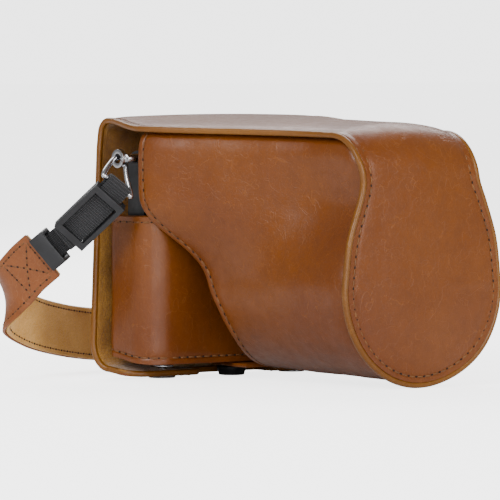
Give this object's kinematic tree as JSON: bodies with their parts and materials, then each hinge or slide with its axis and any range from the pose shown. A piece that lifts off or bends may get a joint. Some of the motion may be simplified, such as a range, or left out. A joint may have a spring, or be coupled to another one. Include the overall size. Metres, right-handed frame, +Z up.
{
  "type": "leather ever-ready camera case",
  "caption": "Tan leather ever-ready case for a small system camera: half case with tripod screw, lens cover, snap-down back flap and carrying strap.",
  "frame": {"origin": "centre of the tripod screw's flat end, on the plane the case stands on", "axes": "+Z up, -Y the way the lens points, +Y towards the back panel, X across the case"},
  "size_m": [0.1616, 0.1565, 0.092],
  "materials": {
    "leather": "smooth waxed tan leather with fine creases",
    "suede": "napped suede lining, golden tan",
    "edge_binding": "rolled and painted leather edge, golden tan",
    "nickel_steel": "nickel-plated steel",
    "black_plastic": "satin black moulded plastic and black-finished metal",
    "webbing": "woven black nylon webbing",
    "board": "grey-brown fibre stiffening board"
  },
  "bodies": {
    "half_case": {"half_case_shell": "leather", "half_case_lining": "suede", "half_case_board": "board", "half_case_sole": "leather", "screw_bush": "nickel_steel", "tongue_tab": "leather", "snap_stud_left": "nickel_steel", "snap_stud_right": "nickel_steel", "lug_plate_left": "black_plastic", "lug_plate_right": "black_plastic", "lug_eyelet_left": "nickel_steel", "lug_eyelet_right": "nickel_steel"},
    "screw": {"tripod_screw": "black_plastic", "screw_clip": "nickel_steel"},
    "cover": {"cover_panel": "leather", "cover_lining": "suede", "cover_binding": "edge_binding", "cover_gusset": "leather", "gusset_lining": "suede", "tongue_root": "leather"},
    "back_flap": {"back_panel": "leather", "back_lining": "suede", "back_binding_left": "edge_binding", "back_binding_right": "edge_binding"},
    "under_flap": {"under_flap": "leather", "under_flap_lining": "suede", "snap_cap_left": "nickel_steel", "snap_cap_right": "nickel_steel", "snap_socket_left": "nickel_steel", "snap_socket_right": "nickel_steel"},
    "strap": {"strap_band": "leather", "strap_suede": "suede", "webbing_left": "webbing", "webbing_right": "webbing", "adjuster_left": "black_plastic", "adjuster_right": "black_plastic", "keeper_left": "black_plastic", "keeper_right": "black_plastic", "strap_ring_left": "nickel_steel", "strap_ring_right": "nickel_steel"}
  },
  "joints": [
    {"name": "back_flap_open", "type": "hinge", "parent": "cover", "child": "back_flap", "pos_m": [0, 0.0152, 0.08], "axis": [1, 0, 0], "range_deg": [0, 110]},
    {"name": "cover_tilt", "type": "hinge", "parent": "half_case", "child": "cover", "pos_m": [0, -0.017, 0.004], "axis": [1, 0, 0], "range_deg": [0, 27.5]},
    {"name": "under_flap_fold", "type": "hinge", "parent": "back_flap", "child": "under_flap", "pos_m": [0, 0.0082, 0.0009], "axis": [1, 0, 0], "range_deg": [0, 80]},
    {"name": "strap_swing", "type": "hinge", "parent": "half_case", "child": "strap", "pos_m": [0, -0.004, 0.078], "axis": [1, 0, 0], "range_deg": [0, 132]},
    {"name": "tripod_screw_turn", "type": "hinge", "parent": "half_case", "child": "screw", "pos_m": [0, 0, 0], "axis": [0, 0, 1], "continuous": true}
  ],
  "couplings": [
    {"joint": "cover_tilt", "follows": "back_flap_open", "ratio": 0.25},
    {"joint": "strap_swing", "follows": "back_flap_open", "ratio": 1.2}
  ]
}
